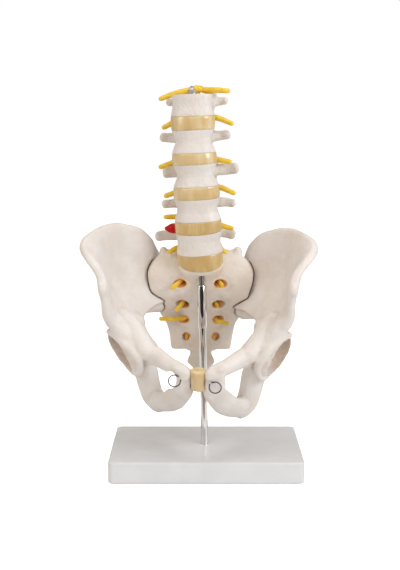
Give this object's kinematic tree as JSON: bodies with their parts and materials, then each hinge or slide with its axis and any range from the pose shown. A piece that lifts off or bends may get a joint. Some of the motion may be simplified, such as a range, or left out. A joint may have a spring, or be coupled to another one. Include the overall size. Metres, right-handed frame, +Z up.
{
  "type": "lumbar spine and pelvis model",
  "caption": "Life-size lumbar spine and pelvis on a pole and base plate, with discs, nerve roots, a burst disc and wired pubic bones.",
  "frame": {"origin": "centre of the base plate's underside", "axes": "+Z up, +X to the viewer's right, -Y towards the viewer, whom the front of the pelvis faces"},
  "size_m": [0.2628, 0.1691, 0.4409],
  "materials": {
    "bone": "satin ivory",
    "disc": "satin, cloudy amber",
    "nerve": "satin yellow",
    "prolapse": "glossy red",
    "chrome": "mirror",
    "steel": "dull",
    "base": "satin light grey"
  },
  "bodies": {
    "root": {"L1_vertebra": "bone", "L2_vertebra": "bone", "L3_vertebra": "bone", "L4_vertebra": "bone", "L5_vertebra": "bone", "base_plate": "base", "column_rod": "steel", "disc_L1_L2": "disc", "disc_L2_L3": "disc", "disc_L3_L4": "disc", "disc_L4_L5": "disc", "disc_L5_S1": "disc", "disc_prolapse": "prolapse", "left_hip_bone": "bone", "left_pubic_ring": "steel", "left_sacroiliac_screw": "steel", "nerve_L1_left": "nerve", "nerve_L1_right": "nerve", "nerve_L2_left": "nerve", "nerve_L2_right": "nerve", "nerve_L3_left": "nerve", "nerve_L3_right": "nerve", "nerve_L4_left": "nerve", "nerve_L4_right": "nerve", "nerve_L5_left": "nerve", "nerve_L5_right": "nerve", "nerve_S1_left": "nerve", "nerve_S1_right": "nerve", "nerve_S2_left": "nerve", "nerve_S2_right": "nerve", "nerve_S3_left": "nerve", "nerve_S3_right": "nerve", "nerve_S4_left": "nerve", "nerve_S4_right": "nerve", "nerve_T12_left": "nerve", "nerve_T12_right": "nerve", "pole_rod": "chrome", "pole_sleeve": "chrome", "pole_stud": "steel", "pubic_disc": "disc", "right_hip_bone": "bone", "right_pubic_ring": "steel", "right_sacroiliac_screw": "steel", "rod_nut": "steel", "rod_washer": "steel", "sacrum": "bone", "spinal_cord": "nerve"}
  },
  "joints": []
}
